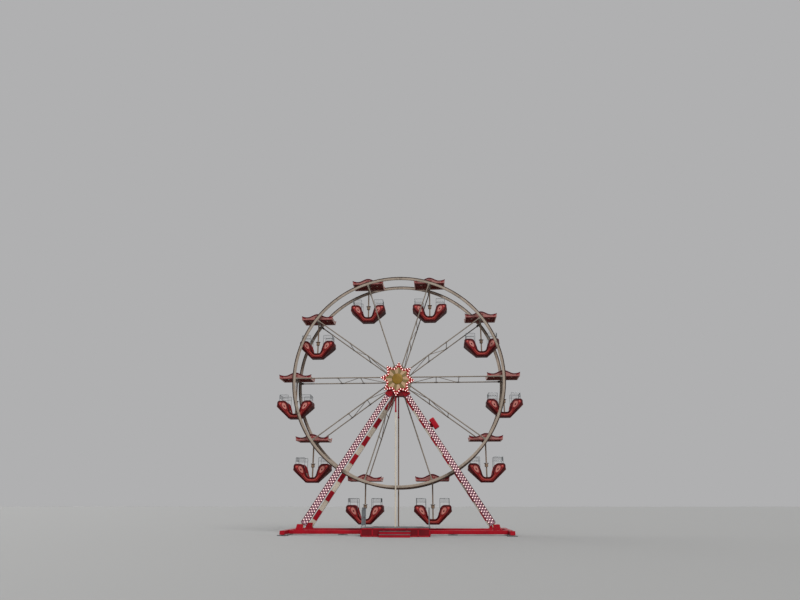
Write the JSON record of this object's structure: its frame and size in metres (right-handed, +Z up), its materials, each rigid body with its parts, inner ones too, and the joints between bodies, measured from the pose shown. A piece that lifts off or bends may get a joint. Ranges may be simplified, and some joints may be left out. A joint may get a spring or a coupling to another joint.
{
  "type": "ferris wheel",
  "caption": "Transportable ferris wheel: a two-rim wheel on A-frame towers, with open cars that hang level under small canopies.",
  "frame": {"origin": "on the ground under the wheel's centre, on the middle beam's pad", "axes": "+X to the right seen from the front, +Y along the wheel's axle from the front to the back, +Z up"},
  "size_m": [14.65, 6.4203, 15.1191],
  "materials": {
    "base_red": "satin",
    "deck_metal": "tread plate",
    "steel_tube": "galvanised",
    "tower_paint": "satin, banded in red and cream",
    "tower_red": "satin",
    "board_pink": "satin",
    "star_cream": "satin",
    "hub_steel": "satin",
    "wheel_cream": "satin",
    "canopy_maroon": "satin",
    "tub_salmon": "gloss gelcoat"
  },
  "bodies": {
    "base": {"sill_front": "base_red", "sill_back": "base_red", "middle_beam": "base_red", "outrigger_left": "base_red", "outrigger_right": "base_red", "loading_deck": "deck_metal", "deck_steps": "deck_metal", "deck_rail_left": "steel_tube", "deck_rail_right": "steel_tube", "tower_leg_front_left": "tower_paint", "tower_leg_front_right": "tower_paint", "tower_leg_back_left": "tower_paint", "tower_leg_back_right": "tower_paint", "tower_post_front": "tower_paint", "tower_post_back": "tower_paint", "tower_head_front": "tower_red", "tower_head_back": "tower_red", "light_board_left": "board_pink", "light_board_right": "board_pink", "star": "star_cream", "leg_housing": "tower_red"},
    "wheel": {"hub": "hub_steel", "rim_front": "wheel_cream", "rim_back": "wheel_cream", "spoke_01": "wheel_cream", "spoke_02": "wheel_cream", "spoke_03": "wheel_cream", "spoke_04": "wheel_cream", "spoke_05": "wheel_cream", "spoke_06": "wheel_cream", "spoke_07": "wheel_cream", "spoke_08": "wheel_cream", "spoke_09": "wheel_cream", "spoke_10": "wheel_cream"},
    "car_01": {"car_01_canopy": "canopy_maroon", "car_01_tub": "tub_salmon"},
    "car_02": {"car_02_canopy": "canopy_maroon", "car_02_tub": "tub_salmon"},
    "car_03": {"car_03_canopy": "canopy_maroon", "car_03_tub": "tub_salmon"},
    "car_04": {"car_04_canopy": "canopy_maroon", "car_04_tub": "tub_salmon"},
    "car_05": {"car_05_canopy": "canopy_maroon", "car_05_tub": "tub_salmon"},
    "car_06": {"car_06_canopy": "canopy_maroon", "car_06_tub": "tub_salmon"},
    "car_07": {"car_07_canopy": "canopy_maroon", "car_07_tub": "tub_salmon"},
    "car_08": {"car_08_canopy": "canopy_maroon", "car_08_tub": "tub_salmon"},
    "car_09": {"car_09_canopy": "canopy_maroon", "car_09_tub": "tub_salmon"},
    "car_10": {"car_10_canopy": "canopy_maroon", "car_10_tub": "tub_salmon"}
  },
  "joints": [
    {"name": "wheel_spin", "type": "hinge", "parent": "base", "child": "wheel", "pos_m": [0, 0, 8.75], "axis": [0, 1, 0], "continuous": true},
    {"name": "car_01_swing", "type": "hinge", "parent": "wheel", "child": "car_01", "pos_m": [6.25, 0, 8.75], "axis": [0, 1, 0], "continuous": true},
    {"name": "car_02_swing", "type": "hinge", "parent": "wheel", "child": "car_02", "pos_m": [5.05636, 0, 12.42366], "axis": [0, 1, 0], "continuous": true},
    {"name": "car_03_swing", "type": "hinge", "parent": "wheel", "child": "car_03", "pos_m": [1.93136, 0, 14.6941], "axis": [0, 1, 0], "continuous": true},
    {"name": "car_04_swing", "type": "hinge", "parent": "wheel", "child": "car_04", "pos_m": [-1.93136, 0, 14.6941], "axis": [0, 1, 0], "continuous": true},
    {"name": "car_05_swing", "type": "hinge", "parent": "wheel", "child": "car_05", "pos_m": [-5.05636, 0, 12.42366], "axis": [0, 1, 0], "continuous": true},
    {"name": "car_06_swing", "type": "hinge", "parent": "wheel", "child": "car_06", "pos_m": [-6.25, 0, 8.75], "axis": [0, 1, 0], "continuous": true},
    {"name": "car_07_swing", "type": "hinge", "parent": "wheel", "child": "car_07", "pos_m": [-5.05636, 0, 5.07634], "axis": [0, 1, 0], "continuous": true},
    {"name": "car_08_swing", "type": "hinge", "parent": "wheel", "child": "car_08", "pos_m": [-1.93136, 0, 2.8059], "axis": [0, 1, 0], "continuous": true},
    {"name": "car_09_swing", "type": "hinge", "parent": "wheel", "child": "car_09", "pos_m": [1.93136, 0, 2.8059], "axis": [0, 1, 0], "continuous": true},
    {"name": "car_10_swing", "type": "hinge", "parent": "wheel", "child": "car_10", "pos_m": [5.05636, 0, 5.07634], "axis": [0, 1, 0], "continuous": true}
  ],
  "couplings": [
    {"joint": "car_01_swing", "follows": "wheel_spin", "ratio": -1},
    {"joint": "car_02_swing", "follows": "wheel_spin", "ratio": -1},
    {"joint": "car_03_swing", "follows": "wheel_spin", "ratio": -1},
    {"joint": "car_04_swing", "follows": "wheel_spin", "ratio": -1},
    {"joint": "car_05_swing", "follows": "wheel_spin", "ratio": -1},
    {"joint": "car_06_swing", "follows": "wheel_spin", "ratio": -1},
    {"joint": "car_07_swing", "follows": "wheel_spin", "ratio": -1},
    {"joint": "car_08_swing", "follows": "wheel_spin", "ratio": -1},
    {"joint": "car_09_swing", "follows": "wheel_spin", "ratio": -1},
    {"joint": "car_10_swing", "follows": "wheel_spin", "ratio": -1}
  ]
}
